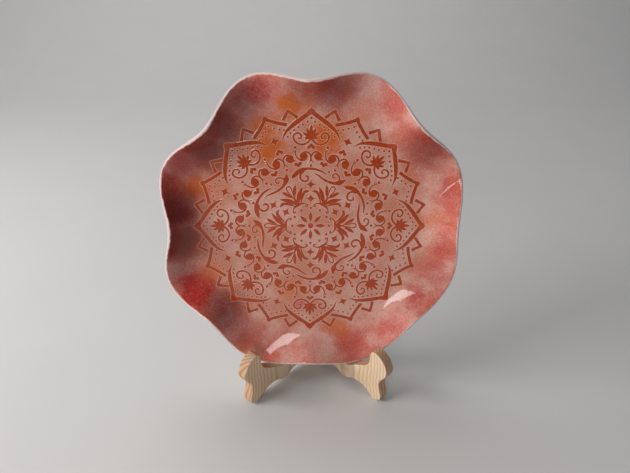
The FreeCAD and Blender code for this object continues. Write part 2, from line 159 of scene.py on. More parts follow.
class Shader:
    """A material under construction; most calls add one node and return its output.

    Places and sizes are in mm: the plate's drawn coordinates on the plate, and
    otherwise the object's own."""

    def __init__(self, name, on_plate=False):
        self.material = bpy.data.materials.new(name)
        self.material.use_nodes = True
        self.tree = self.material.node_tree
        self.surface = self.tree.nodes["Principled BSDF"]
        if on_plate:
            drawn = self.tree.nodes.new("ShaderNodeAttribute")
            drawn.attribute_name = "drawn_at"
            where = drawn.outputs["Vector"]
        else:
            where = self.tree.nodes.new("ShaderNodeTexCoord").outputs["Object"]
        self.place = self.vector("MULTIPLY", where, (1 / MM, 1 / MM, 1 / MM))

    def put(self, socket, value):
        if isinstance(value, bpy.types.NodeSocket):
            self.tree.links.new(value, socket)
        else:
            socket.default_value = value

    def math(self, operation, *values, clamp=False):
        node = self.tree.nodes.new("ShaderNodeMath")
        node.operation = operation
        node.use_clamp = clamp
        for socket, value in zip(node.inputs, values):
            self.put(socket, value)
        return node.outputs[0]

    def vector(self, operation, *values):
        node = self.tree.nodes.new("ShaderNodeVectorMath")
        node.operation = operation
        for socket, value in zip(node.inputs, values):
            self.put(socket, value)
        return node.outputs["Value" if operation in ("DISTANCE", "LENGTH") else "Vector"]

    def noise(self, size, place=None, detail=4.0, rough=0.55, output="Fac"):
        """Noise whose lumps are about size mm across."""
        node = self.tree.nodes.new("ShaderNodeTexNoise")
        self.put(node.inputs["Vector"], place or self.place)
        node.inputs["Scale"].default_value = 1 / size
        node.inputs["Detail"].default_value = detail
        node.inputs["Roughness"].default_value = rough
        return node.outputs[output]

    def ramp(self, value, low, high, out_low=0.0, out_high=1.0):
        """value from low to high becomes out_low to out_high, with soft ends."""
        node = self.tree.nodes.new("ShaderNodeMapRange")
        node.interpolation_type = "SMOOTHSTEP"
        for socket, number in zip(node.inputs, (value, low, high, out_low, out_high)):
            self.put(socket, number)
        return node.outputs[0]

    def mix(self, share, first, second, blend="MIX"):
        node = self.tree.nodes.new("ShaderNodeMix")
        node.data_type = "RGBA"
        node.blend_type = blend
        self.put(node.inputs["Factor"], share)
        self.put(node.inputs[6], first)
        self.put(node.inputs[7], second)
        return node.outputs[2]

    def bump(self, height, depth):
        """Lets height shade the surface as if it were depth mm deep."""
        node = self.tree.nodes.new("ShaderNodeBump")
        node.inputs["Strength"].default_value = 1.0
        node.inputs["Distance"].default_value = depth * MM
        self.put(node.inputs["Height"], height)
        self.put(self.surface.inputs["Normal"], node.outputs[0])


# ----------------------------------------------------------------- painted ground

# Washes of colour on the face: angle clockwise from the top in degrees, distance
# from the centre in mm, reach in mm, strength.
OCHRE_WASHES = [
    (-10.5, 116, 15, 0.95), (-25, 101, 19, 0.7), (-28, 86, 18, 0.85), (9, 85, 17, 0.9),
    (-56, 113, 17, 0.55), (-70, 115, 18, 0.8), (24, 118, 15, 0.4), (-99, 114, 16, 0.45),
    (-115, 111, 17, 0.5), (-129, 102, 15, 0.4), (-127, 63, 12, 0.45), (-160, 70, 17, 0.35),
    (85, 117, 12, 0.3), (165, 116, 14, 0.4), (-97, 60, 15, 0.3), (-2, 118, 12, 0.35),
]
RED_WASHES = [
    (-21, 136, 18, 0.8), (-40, 138, 22, 0.45), (-58, 136, 22, 0.45), (-88, 138, 26, 0.8),
    (-104, 128, 16, 0.45), (-120, 134, 26, 0.95), (-132, 122, 14, 0.45), (-74, 140, 22, 0.5),
    (31, 138, 20, 0.4), (52, 136, 18, 0.35), (76, 138, 16, 0.3), (98, 130, 18, 0.45),
    (112, 140, 14, 0.45), (124, 129, 16, 0.7), (142, 137, 18, 0.5), (162, 138, 20, 0.3),
    (180, 130, 14, 0.3), (196, 130, 16, 0.35), (-145, 130, 18, 0.4), (-100, 90, 18, 0.2),
    (205, 96, 12, 0.3), (184, 86, 9, 0.45), (8, 136, 20, 0.35),
]
# Painted shade: maroon on the rim's walls that face away from the window at the left, mostly on the
# left and upper left; same columns.
PAINTED_SHADE_WASHES = [
    (-28, 133, 26, 0.55), (-40, 128, 30, 0.8), (-52, 122, 30, 0.85), (-62, 132, 24, 0.55),
    (-82, 131, 34, 0.85), (-96, 129, 32, 0.9), (-72, 140, 26, 0.5), (-110, 136, 22, 0.45),
    (-134, 118, 26, 0.5), (-4, 135, 24, 0.4), (8, 133, 28, 0.5), (54, 131, 26, 0.5),
]

# A wash is full within the first share of its reach and gone at the second.
WASH_CORE = 0.15
WASH_END = 1.25
# How far the noise pushes the edges of the bright washes and of the painted maroon shade, in mm.
BRIGHT_DRIFT = 34.0
PAINTED_SHADE_DRIFT = 7.0

OCHRE = srgb(208, 100, 24)
RED = srgb(184, 46, 38)
# colour of the painted shade on the rim's walls
PAINTED_SHADE_MAROON = srgb(132, 22, 12)


def washes(shader, place, table):
    """How much of a wash lies at each point, from 0 to 1."""
    flat = shader.vector("MULTIPLY", place, (1.0, 1.0, 0.0))
    total = None
    for degrees, reach_out, size, strength in table:
        angle = math.radians(degrees)
        centre = (reach_out * math.sin(angle), reach_out * math.cos(angle), 0.0)
        apart = shader.vector("DISTANCE", flat, centre)
        one = shader.ramp(apart, size * WASH_END, size * WASH_CORE, 0.0, strength)
        total = one if total is None else shader.math("MAXIMUM", total, one)
    return total


def wash_place(shader, spread):
    """The point, pushed about by noise so that washes have watery edges."""
    drift = shader.noise(15.0, detail=5.0, rough=0.6, output="Color")
    drift = shader.vector("SUBTRACT", drift, (0.5, 0.5, 0.5))
    drift = shader.vector("MULTIPLY", drift, (spread, spread, 0.0))
    return shader.vector("ADD", shader.place, drift)


def ground_colour(shader):
    """The watery ground: lilac-pink well, coral rim, red and ochre washes, painted maroon shade on
    the rim's walls, fine grain.
    """
    flat = shader.vector("MULTIPLY", shader.place, (1.0, 1.0, 0.0))
    out = shader.vector("LENGTH", flat)
    rim = shader.ramp(out, 96.0, 132.0)
    place = wash_place(shader, BRIGHT_DRIFT)
    cloud = shader.noise(34.0, detail=4.0, rough=0.5)
    cloud = shader.ramp(cloud, 0.38, 0.62)
    well = shader.mix(cloud, srgb(204, 132, 106), srgb(214, 163, 148))
    edge = shader.mix(cloud, srgb(204, 110, 94), srgb(218, 162, 150))
    colour = shader.mix(rim, well, edge)

    mottle = shader.ramp(shader.noise(4.0, detail=6.0, rough=0.75), 0.28, 0.62, 0.7, 1.0)
    speckle = shader.ramp(shader.noise(1.5, detail=3.0, rough=0.8), 0.36, 0.60, 0.75, 1.0)
    mottle = shader.math("MULTIPLY", mottle, speckle)
    ochre = shader.math("MULTIPLY", washes(shader, place, OCHRE_WASHES), mottle)
    colour = shader.mix(shader.math("MULTIPLY", ochre, 1.6, clamp=True), colour, OCHRE)
    spatter = shader.ramp(shader.noise(2.4, detail=5.0, rough=0.8), 0.32, 0.60, 0.55, 1.15)
    red = shader.math("MULTIPLY", washes(shader, place, RED_WASHES), spatter)
    colour = shader.mix(shader.math("MULTIPLY", red, 1.1, clamp=True), colour, RED)
    # painted shade: the rim's walls that face away from the window light, mixed towards maroon and
    # then darkened
    shade = washes(shader, wash_place(shader, PAINTED_SHADE_DRIFT), PAINTED_SHADE_WASHES)
    colour = shader.mix(shade, colour, PAINTED_SHADE_MAROON)
    colour = shader.mix(shade, colour, srgb(202, 190, 190), "MULTIPLY")

    grain = shader.noise(1.5, detail=4.0, rough=0.8)
    return shader.mix(0.4, colour, shader.mix(shader.ramp(grain, 0.34, 0.66), srgb(60, 30, 30),
                                               srgb(255, 240, 230)), "SOFT_LIGHT")


RIPPLE_DEPTH = 0.10  # of the varnish, in mm


def clear_coat(shader):
    """Gloss varnish over the paint, with the faint ripple of a brushed coat."""
    surface = shader.surface
    surface.inputs["Roughness"].default_value = 0.5
    surface.inputs["Specular IOR Level"].default_value = 0.15
    surface.inputs["Coat Weight"].default_value = 1.0
    surface.inputs["Coat Roughness"].default_value = 0.07
    surface.inputs["Coat IOR"].default_value = 1.5
    shader.bump(shader.noise(9.0, detail=3.0, rough=0.5), RIPPLE_DEPTH)


def painted_face():
    """The painted ground, fading to bare pale glaze just over the crest of the lip."""
    shader = Shader("painted_face", on_plate=True)
    colour = ground_colour(shader)
    from_lip = shader.tree.nodes.new("ShaderNodeAttribute")
    from_lip.attribute_name = "from_lip"
    wander = shader.ramp(shader.noise(7.0, detail=4.0), 0.3, 0.7, -0.5, 0.5)
    inside = shader.math("ADD", from_lip.outputs["Fac"], wander)
    painted = shader.ramp(inside, -1.7, -0.6)
    colour = shader.mix(painted, srgb(228, 200, 195), colour)
    shader.put(shader.surface.inputs["Base Color"], colour)
    clear_coat(shader)
    return shader.material


def back_glaze():
    """White glaze of the underside, pooled a little greyer and warmer in places."""
    shader = Shader("back_glaze", on_plate=True)
    pool = shader.ramp(shader.noise(40.0, detail=4.0), 0.35, 0.65)
    colour = shader.mix(pool, srgb(232, 226, 222), srgb(222, 212, 208))
    pits = shader.ramp(shader.noise(1.6, detail=2.0), 0.70, 0.78)
    colour = shader.mix(pits, colour, srgb(176, 160, 150))
    shader.put(shader.surface.inputs["Base Color"], colour)
    shader.surface.inputs["Coat Weight"].default_value = 0.8
    shader.surface.inputs["Coat Roughness"].default_value = 0.08
    shader.surface.inputs["Roughness"].default_value = 0.35
    shader.bump(shader.noise(6.0, detail=3.0), 0.08)
    return shader.material


def bare_clay():
    """The foot ring's unglazed edge."""
    shader = Shader("bare_clay", on_plate=True)
    colour = shader.mix(shader.noise(2.0), srgb(216, 200, 182), srgb(196, 176, 156))
    shader.put(shader.surface.inputs["Base Color"], colour)
    shader.surface.inputs["Roughness"].default_value = 0.85
    shader.bump(shader.noise(0.5, detail=5.0), 0.05)
    return shader.material


# ------------------------------------------------------------------- plate's shape

ROUND_STEPS = 384
LIP_STEPS = 10
FACE, BACK, CLAY = range(3)


def face_line(angle):
    """The face from the centre to the lip: (radius, height) in mm."""
    line = [(radius, 0.0) for radius in (0, 20, 40, 60, 75, 88, 98)]
    steps = 28
    for step in range(steps + 1):
        radius = WELL_RADIUS + rim_run(angle) * step / steps
        line.append((radius, face_height(radius, angle)))
    return line


def back_line(angle):
    """The underside from the lip to the well's edge, one wall thickness below the face."""
    steps = 20
    line = []
    for step in range(steps, -1, -1):
        share = step / steps
        radius = WELL_RADIUS + rim_run(angle) * share
        slope = face_slope(angle, share)
        thick = WELL_THICKNESS + (LIP_THICKNESS - WELL_THICKNESS) * share
        line.append((radius + thick * math.sin(slope),
                     face_height(radius, angle) - thick * math.cos(slope)))
    return line


def lip_line(angle):
    """The half-round lip between face and underside."""
    slope = face_slope(angle, 1)
    half = LIP_THICKNESS / 2
    radius, height = lip_radius_at(angle), lip_height_at(angle)
    middle = (radius + half * math.sin(slope), height - half * math.cos(slope))
    line = []
    for step in range(1, LIP_STEPS):
        turn = slope + math.pi / 2 - math.pi * step / LIP_STEPS
        line.append((middle[0] + half * math.cos(turn), middle[1] + half * math.sin(turn)))
    return line


def foot_line():
    """Under the well: rounded foot ring, then flat to the centre."""
    base = -WELL_THICKNESS
    low = base - FOOT_DROP
    return [
        (100.0, base), (92.0, base), (FOOT_OUTER + 3.0, base), (FOOT_OUTER + 1.2, base - 0.3),
        (FOOT_OUTER + 0.3, base - 1.2), (FOOT_OUTER, low + 1.0), (FOOT_OUTER - 0.3, low + 0.3),
        (FOOT_OUTER - 1.0, low), (FOOT_INNER + 1.0, low), (FOOT_INNER + 0.3, low + 0.3),
        (FOOT_INNER, low + 1.0), (FOOT_INNER - 0.3, base - 1.2), (FOOT_INNER - 1.2, base - 0.3),
        (FOOT_INNER - 3.0, base), (55.0, base), (35.0, base), (15.0, base), (0.0, base),
    ]


def ceramic_plate():
    """The whole plate, turned from its section, whose rim changes with the angle.

    The attribute from_lip holds each point's distance from the lip in mm,
    negative on the underside."""
    columns = []
    for step in range(ROUND_STEPS):
        angle = 2 * math.pi * step / ROUND_STEPS
        columns.append([*face_line(angle), *lip_line(angle), *back_line(angle), *foot_line()])
    count = len(columns[0])
    face_count = len(face_line(0))
    # the four bands of the section that are the foot ring's bare edge
    clay = {count - 1 - len(foot_line()) + index for index in (7, 8, 9, 10)}

    points, from_lip, faces, slots = [], [], [], []
    for step, column in enumerate(columns):
        angle = 2 * math.pi * step / ROUND_STEPS
        lip = column[face_count - 1]
        for index, (radius, height) in enumerate(column):
            points.append(Vector((radius * math.sin(angle), radius * math.cos(angle), height)) * MM)
            apart = math.hypot(lip[0] - radius, lip[1] - height)
            from_lip.append(apart if index < face_count else -apart)
    for step in range(ROUND_STEPS):
        here, there = step * count, (step + 1) % ROUND_STEPS * count
        for index in range(count - 1):
            faces.append((here + index, here + index + 1, there + index + 1, there + index))
            is_face = index < face_count + LIP_STEPS // 2
            slots.append(FACE if is_face else CLAY if index in clay else BACK)

    plate = make_object("ceramic_plate", points, faces)
    mesh = plate.data
    for material in (painted_face(), back_glaze(), bare_clay()):
        mesh.materials.append(material)
    mesh.polygons.foreach_set("material_index", slots)
    attribute = mesh.attributes.new("from_lip", "FLOAT", "POINT")
    attribute.data.foreach_set("value", from_lip)
    return plate


plate = ceramic_plate()
on_plate(plate)
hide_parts("plate")

# ---------------------------------------------------------------- painted ornament

UNIT = 111.5  # the ornament's radius in mm
PAINT = 0.045  # thickness of the paint in mm
HALO = 0.0048  # width of the paler border, in units of the ornament's radius
THINNEST = 0.0012  # the finest line, in the same units
RAGGED = 0.10  # share by which a stroke's width wavers
WAVER = 60  # how quickly it wavers, per unit of length
# a stroke's cross-section: share of its half width, share of the halo beyond it, height in mm
SECTION = ((-1, 1.0, -0.02), (-1, 0.75, 0.012), (-1, 0.0, 0.02), (-0.86, 0.0, 0.038),
           (0, 0.0, PAINT), (0.86, 0.0, 0.038), (1, 0.0, 0.02), (1, 0.75, 0.012), (1, 1.0, -0.02))


class Ornament:
    """Stencilled marks, gathered into one thin relief that lies on the plate's face.

    A mark is given in units of the ornament's radius, as (across, out) from the
    plate's centre, on an axis turned clockwise from the plate's top.
    """

    def __init__(self, name):
        self.name = name
        self.points = []
        self.faces = []
        self.slots = []
        self.turn = 0.0
        self.flip = 1

    def aim(self, degrees, flip=1):
        self.turn = math.radians(degrees)
        self.flip = flip

    def place(self, across, out, lift):
        across *= self.flip
        x = (out * math.sin(self.turn) + across * math.cos(self.turn)) * UNIT
        y = (out * math.cos(self.turn) - across * math.sin(self.turn)) * UNIT
        height = face_height(math.hypot(x, y), math.atan2(x, y))
        self.points.append(Vector((x, y, height + lift)) * MM)
        return len(self.points) - 1

    def face(self, *corners, halo=False):
        self.faces.append(corners if self.flip < 0 else corners[::-1])
        self.slots.append(int(halo))

    def stroke(self, points, widths, steps=8):
        """A brush line through the points, as wide there as widths say."""
        row = [(*point, width) for point, width in zip(points, widths)]
        line = spline(row, steps)
        rungs = []
        for index, (across, out, width) in enumerate(line):
            before = line[max(index - 1, 0)]
            after = line[min(index + 1, len(line) - 1)]
            way = Vector((after[0] - before[0], after[1] - before[1])).normalized()
            side = Vector((-way.y, way.x))
            ragged = 1 + RAGGED * noise.noise(Vector((across, out, self.turn)) * WAVER)
            half = max(width, THINNEST) / 2 * ragged
            rung = []
            for share, spill, lift in SECTION:
                reach = half * share + math.copysign(HALO * spill, share)
                rung.append(self.place(across + side.x * reach, out + side.y * reach, lift))
            rungs.append(rung)
        last = len(SECTION) - 2
        for one, two in zip(rungs, rungs[1:]):
            for index in range(last + 1):
                in_halo = index < 2 or index > last - 2
                self.face(one[index], one[index + 1], two[index + 1], two[index], halo=in_halo)

    def leaf(self, start, end, width, bow=0.0, fullest=0.5):
        """A pointed leaf, bowed to one side, widest at the fullest share of its length."""
        one, two = Vector(start), Vector(end)
        side = Vector((-(two - one).y, (two - one).x)) * bow
        middle = one.lerp(two, fullest) + side
        early = one.lerp(two, fullest * 0.4) + side * 0.6
        late = one.lerp(two, 0.5 + fullest * 0.5) + side * 0.7
        self.stroke([one[:], early[:], middle[:], late[:], two[:]],
                    [0.0, width * 0.72, width, width * 0.66, 0.0], 4)

    def dot(self, across, out, radius):
        """A round dab with a slightly uneven edge."""
        sides = 18
        centre = self.place(across, out, PAINT)
        rings = []
        for share, spill, lift in SECTION[-4:]:
            ring = []
            for index in range(sides):
                angle = 2 * math.pi * index / sides
                ragged = share * (1 + 0.05 * math.sin(3 * angle + 40 * out + 17 * self.turn))
                reach = radius * ragged + HALO * spill
                ring.append(self.place(across + reach * math.cos(angle),
                                       out + reach * math.sin(angle), lift))
            rings.append(ring)
        for index in range(sides):
            after = (index + 1) % sides
            self.face(centre, rings[0][index], rings[0][after])
            for number, (one, two) in enumerate(zip(rings, rings[1:])):
                self.face(one[index], two[index], two[after], one[after], halo=number > 0)

    def star(self, across, out, wide, tall):
        """A four-pointed star with hollow sides."""
        steps, rings, fullness = 6, [], 0.24
        for share, spill, lift in SECTION[-4:]:
            ring = []
            for quarter in range(4):
                turn = math.pi / 2 * quarter
                for step in range(steps):
                    t = step / steps
                    middle = fullness * t * (1 - t)
                    along, aside = (1 - t) ** 2 + middle, t ** 2 + middle
                    x = along * math.cos(turn) - aside * math.sin(turn)
                    y = along * math.sin(turn) + aside * math.cos(turn)
                    bulk = math.hypot(x, y)
                    grow = share + spill * HALO / (bulk * (wide + tall) / 2)
                    ring.append(self.place(across + wide * x * grow, out + tall * y * grow, lift))
            rings.append(ring)
        centre = self.place(across, out, PAINT)
        count = len(rings[0])
        for index in range(count):
            after = (index + 1) % count
            self.face(centre, rings[0][index], rings[0][after])
            for number, (one, two) in enumerate(zip(rings, rings[1:])):
                self.face(one[index], two[index], two[after], one[after], halo=number > 0)

    def both(self, draw, *values, **more):
        """Draws a mark and its mirror image."""
        draw(*values, **more)
        self.flip = -self.flip
        draw(*values, **more)
        self.flip = -self.flip

    def finish(self):
        """Makes the object, in stencil paint with its paler border."""
        thing = make_object(self.name, self.points, self.faces)
        thing.data.materials.append(STENCIL)
        thing.data.materials.append(HALO_GROUND)
        thing.data.polygons.foreach_set("material_index", self.slots)
        on_plate(thing)


def stencil_paint():
    """Rust-brown paint: denser and thinner in patches, more orange over the ochre washes."""
    shader = Shader("stencil_paint", on_plate=True)
    place = wash_place(shader, BRIGHT_DRIFT)
    dense = shader.ramp(shader.noise(3.2, detail=6.0, rough=0.7), 0.32, 0.68)
    broad = shader.ramp(shader.noise(30.0, detail=3.0), 0.35, 0.65)
    colour = shader.mix(dense, srgb(188, 74, 6), srgb(158, 48, 0))
    colour = shader.mix(shader.math("MULTIPLY", broad, 0.35), colour, srgb(172, 58, 18))
    ochre = washes(shader, place, OCHRE_WASHES)
    colour = shader.mix(shader.math("MULTIPLY", ochre, 0.6), colour, srgb(184, 78, 8))
    grain = shader.noise(0.7, detail=3.0, rough=0.7)
    thin = shader.math("MULTIPLY", shader.ramp(grain, 0.56, 0.72), 0.45)
    colour = shader.mix(thin, colour, srgb(206, 120, 84))
    shader.put(shader.surface.inputs["Base Color"], colour)
    clear_coat(shader)
    return shader.material


def halo_ground():
    """The ground left paler where the stencil's edge sheltered it."""
    shader = Shader("halo_ground", on_plate=True)
    colour = shader.mix(0.45, ground_colour(shader), srgb(236, 204, 188))
    shader.put(shader.surface.inputs["Base Color"], colour)
    clear_coat(shader)
    return shader.material


STENCIL = stencil_paint()
HALO_GROUND = halo_ground()


def turns(count, first=0.0):
    """The axes of a motif repeated count times round the plate."""
    return [first + 360 * index / count for index in range(count)]


def centre_rosette():
    """Eight seed petals round a button, inside a ring of dots."""
    marks = Ornament("centre_rosette")
    marks.dot(0, 0, 0.025)
    for axis in turns(8):
        marks.aim(axis)
        marks.leaf((0, 0.040), (0, 0.130), 0.034)
    for axis in turns(12):
        marks.aim(axis)
        marks.dot(0, 0.160, 0.012)
    marks.finish()


def inner_palmettes():
    """Six lily palmettes with curled feet, and the stars between them."""
    marks = Ornament("inner_palmettes")
    for axis in turns(6, 30):
        marks.aim(axis)
        marks.both(marks.stroke,
                   [(0, 0.217), (0.028, 0.214), (0.0515, 0.203), (0.071, 0.178), (0.060, 0.168),
                    (0.050, 0.180)],
                   [0.026, 0.020, 0.013, 0.011, 0.012, 0.016])
        marks.both(marks.stroke,
                   [(0.012, 0.226), (0.034, 0.264), (0.070, 0.303), (0.119, 0.342)],
                   [0.008, 0.036, 0.035, 0.0])
        marks.both(marks.stroke,
                   [(0.026, 0.218), (0.064, 0.256), (0.100, 0.286), (0.128, 0.284), (0.146, 0.268)],
                   [0.008, 0.018, 0.025, 0.022, 0.0])
        marks.both(marks.stroke,
                   [(0.006, 0.285), (0.012, 0.330), (0.020, 0.366), (0.014, 0.394), (0, 0.400)],
                   [0.013, 0.010, 0.011, 0.012, 0.013])
        marks.both(marks.leaf, (0.016, 0.292), (0.070, 0.384), 0.030, bow=0.06, fullest=0.6)
        marks.stroke([(0, 0.205), (0, 0.245), (0, 0.290)], [0.030, 0.030, 0.010], 4)
    for axis in turns(6):
        marks.aim(axis)
        marks.star(0, 0.2455, 0.050, 0.042)
        marks.star(0, 0.370, 0.052, 0.042)
    marks.finish()


def scroll_ring():
    """Six long S-scrolls, each with a leaf and a volute at both ends."""
    marks = Ornament("scroll_ring")
    for axis in turns(6):
        marks.aim(axis)
        marks.stroke([(-0.165, 0.416), (-0.140, 0.446), (-0.095, 0.487), (-0.040, 0.504),
                      (0.020, 0.504), (0.070, 0.490), (0.110, 0.470), (0.143, 0.445)],
                     [0.0, 0.036, 0.038, 0.025, 0.022, 0.019, 0.013, 0.0])
        marks.stroke([(0.007, 0.474), (0.060, 0.449), (0.110, 0.412), (0.155, 0.390),
                      (0.205, 0.379), (0.250, 0.386), (0.304, 0.412)],
                     [0.0, 0.015, 0.020, 0.023, 0.028, 0.046, 0.0])
        marks.stroke([(-0.058, 0.486), (-0.088, 0.456), (-0.086, 0.416), (-0.056, 0.396),
                      (-0.027, 0.408), (-0.024, 0.436), (-0.046, 0.444)],
                     [0.018, 0.018, 0.018, 0.017, 0.016, 0.018, 0.013])
        marks.stroke([(0.243, 0.392), (0.240, 0.436), (0.213, 0.462), (0.188, 0.452),
                      (0.188, 0.430), (0.206, 0.428)],
                     [0.016, 0.015, 0.014, 0.013, 0.014, 0.012])
    for axis in turns(6, 17.7):
        marks.aim(axis)
        marks.dot(0, 0.500, 0.011)
    marks.finish()


def comma_ring():
    """Sixteen pairs of round commas, with trefoils and dots between them."""
    marks = Ornament("comma_ring")
    for axis in turns(16):
        marks.aim(axis)
        marks.dot(-0.061, 0.609, 0.035)
        marks.dot(0.061, 0.609, 0.035)
        marks.both(marks.stroke,
                   [(-0.084, 0.632), (-0.044, 0.649), (-0.014, 0.634), (0.000, 0.607),
                    (0.003, 0.578), (0.030, 0.545)],
                   [0.012, 0.016, 0.015, 0.013, 0.012, 0.003])
        marks.stroke([(-0.122, 0.676), (-0.131, 0.634), (-0.112, 0.596), (-0.080, 0.576),
                      (-0.048, 0.580)],
                     [0.004, 0.012, 0.014, 0.016, 0.018])
        marks.stroke([(0.070, 0.584), (0.090, 0.581), (0.106, 0.588)], [0.014, 0.012, 0.003])
        marks.dot(0, 0.532, 0.012)
        for across, out in ((-0.019, 0.688), (0.019, 0.688), (0, 0.703)):
            marks.dot(across, out, 0.0155)
    for axis in turns(16, 11.25):
        marks.aim(axis)
        for across, out in ((-0.018, 0.556), (0.018, 0.556), (0, 0.543)):
            marks.dot(across, out, 0.0155)
        marks.dot(0.002, 0.698, 0.0125)
        marks.stroke([(-0.018, 0.679), (0.000, 0.674)], [0.010, 0.009], 3)
        marks.stroke([(-0.018, 0.664), (0.000, 0.659)], [0.010, 0.009], 3)
    marks.finish()


def major_petals():
    """Eight ogee petals, each holding a fan palmette with two scrolls and a row of dots."""
    marks = Ornament("major_petals")
    for axis in turns(8):
        marks.aim(axis)
        marks.both(marks.stroke,
                   [(0, 0.985), (0.040, 0.950), (0.106, 0.903), (0.165, 0.856), (0.205, 0.815),
                    (0.226, 0.778), (0.238, 0.742)],
                   [0.050, 0.036, 0.037, 0.034, 0.024, 0.014, 0.005])
        marks.stroke([(0, 0.968), (0, 0.990), (0, 1.015)], [0.046, 0.034, 0.0], 4)
        marks.dot(0, 0.927, 0.0105)
        for across, out in ((0.031, 0.897), (0.070, 0.872), (0.105, 0.852), (0.141, 0.828),
                            (0.172, 0.802), (0.194, 0.772)):
            marks.both(marks.dot, across, out, 0.0098)
        fan_palmette(marks)
    marks.finish()


def fan_palmette(marks):
    """Seven leaves fanned from one point, over two scrolls."""
    base = Vector((0, 0.772))
    marks.dot(0, 0.782, 0.030)
    marks.leaf((0, 0.770), (0, 0.878), 0.028, fullest=0.6)
    for lean, length in ((25, 0.088), (59, 0.080), (96, 0.060)):
        angle = math.radians(lean)
        tip = base + Vector((math.sin(angle), math.cos(angle))) * length
        marks.both(marks.leaf, base[:], tip[:], 0.026, bow=-0.06, fullest=0.62)
    marks.both(marks.stroke,
               [(0, 0.764), (-0.035, 0.724), (-0.080, 0.709), (-0.125, 0.727), (-0.147, 0.764),
                (-0.139, 0.793), (-0.110, 0.804), (-0.084, 0.786), (-0.088, 0.762),
                (-0.108, 0.762)],
               [0.020, 0.017, 0.017, 0.017, 0.017, 0.017, 0.016, 0.015, 0.016, 0.014])


def medium_petals():
    """Eight petals with hollow sides between the large ones."""
    marks = Ornament("medium_petals")
    for axis in turns(8, 22.5):
        marks.aim(axis)
        marks.both(marks.stroke,
                   [(0, 0.998), (0.016, 0.974), (0.050, 0.946), (0.096, 0.912), (0.148, 0.880)],
                   [0.036, 0.028, 0.029, 0.028, 0.030])
        marks.stroke([(0, 0.985), (0, 1.003), (0, 1.020)], [0.032, 0.020, 0.0], 4)
        marks.dot(0, 0.927, 0.0098)
        for degrees, out in ((2.4, 0.895), (4.9, 0.872), (7.3, 0.857)):
            angle = math.radians(degrees)
            marks.both(marks.dot, out * math.sin(angle), out * math.cos(angle), 0.0098)
        marks.star(0, 0.792, 0.052, 0.042)
    marks.finish()


def chevrons():
    """Sixteen small chevrons behind the petals, leaning away from the large ones."""
    marks = Ornament("chevrons")
    for axis in turns(8):
        for side in (1, -1):
            marks.aim(axis + side * 11.25, side)
            marks.stroke([(-0.070, 0.932), (-0.036, 0.968), (-0.004, 1.000)],
                         [0.027, 0.026, 0.030])
            marks.stroke([(0.050, 0.934), (0.026, 0.964), (-0.004, 1.004)],
                         [0.030, 0.026, 0.024])
            marks.stroke([(-0.004, 0.990), (-0.004, 1.004), (-0.005, 1.020)],
                         [0.030, 0.018, 0.0], 4)
    marks.finish()


for make_marks in (centre_rosette, inner_palmettes, scroll_ring, comma_ring, major_petals,
                   medium_petals, chevrons):
    make_marks()

# ------------------------------------------------------------------------- stand

HINGE = Vector((2.4, 30.3, 0.0)) * MM
HALF_OPENING = math.radians(43)
# The boards' sizes, in mm.
BOARD_THICKNESS = 11.2
BOARD_GAP = 0.3
EDGE_ROUND = 0.9
POST_TOP = 108.55  # where the post's rounded top begins, over the floor
POST_MIDDLE = 7.95
POST_HALF = 5.45


def arc_points(centre, radius, start, end, steps=14):
    """Points on an arc, angles in radians."""
    line = []
    for step in range(steps + 1):
        angle = start + (end - start) * step / steps
        line.append((centre[0] + radius * math.cos(angle), centre[1] + radius * math.sin(angle)))
    return line


def front_line():
    """Toe, waist, bulge and hook of a board: (forward, up) in mm."""
    toe = 90.5
    shape = [
        (0, 0), (4.9, 3.4), (5.8, 8.6), (3.6, 17.0), (2.6, 23.8), (4.8, 29.2), (9.2, 35.4),
        (10.9, 42.0), (9.2, 48.6), (5.2, 54.2), (-0.6, 58.2), (-5.8, 59.3), (-9.8, 56.6),
        (-10.9, 50.6), (-11.4, 44.4), (-14.0, 38.9), (-18.0, 35.6),
    ]
    return spline([(toe + forward, up) for forward, up in shape], 6)


def throat_line():
    """The hollow between the ledge and the post, tangent to both."""
    slope = math.radians(30)
    lean = math.atan(math.tan(PLATE_LEAN) / math.cos(HALF_OPENING))
    radius = 16.0
    ledge, shoulder = Vector((72.5, 35.6)), Vector((POST_MIDDLE + POST_HALF, POST_TOP))
    forward = Vector((math.cos(slope), math.sin(slope)))
    upward = Vector((-math.sin(lean), math.cos(lean)))
    gap = shoulder - ledge
    along = gap.cross(upward) / forward.cross(upward)
    corner = ledge + forward * along
    half = forward.angle(upward) / 2
    middle = corner + (forward + upward).normalized() * radius / math.sin(half)
    start = math.atan2(*(corner + forward * radius / math.tan(half) - middle).yx)
    end = math.atan2(*(corner + upward * radius / math.tan(half) - middle).yx)
    if end > start:
        end -= 2 * math.pi
    return arc_points(middle, radius, start, end)


def under_line():
    """Rear foot, two arches with a rounded drop between them: from the back to the toe."""
    middle, arch, drop = 46.5, 24.0, 12.0
    arch_z, drop_z = 9.5 - arch, 4.2 + drop
    reach = math.sqrt((arch + drop) ** 2 - (drop_z - arch_z) ** 2)
    half_span = math.sqrt(arch ** 2 - arch_z ** 2)
    tilt = math.atan2(drop_z - arch_z, reach)
    ground = math.atan2(-arch_z, half_span)
    rear = arc_points((middle - reach, arch_z), arch, math.pi - ground, tilt)
    bottom = arc_points((middle, drop_z), drop, math.pi + tilt, 2 * math.pi - tilt, 10)
    front = arc_points((middle + reach, arch_z), arch, math.pi - tilt, ground)
    return [(2.5, 0.0), *rear, *bottom[1:], *front[1:]]


def board_line():
    """A board's whole outline, round from the rear foot and back down the post."""
    top = arc_points((POST_MIDDLE, POST_TOP), POST_HALF, 0, math.pi, 12)
    return [*under_line(), *front_line(), *throat_line(), *top]


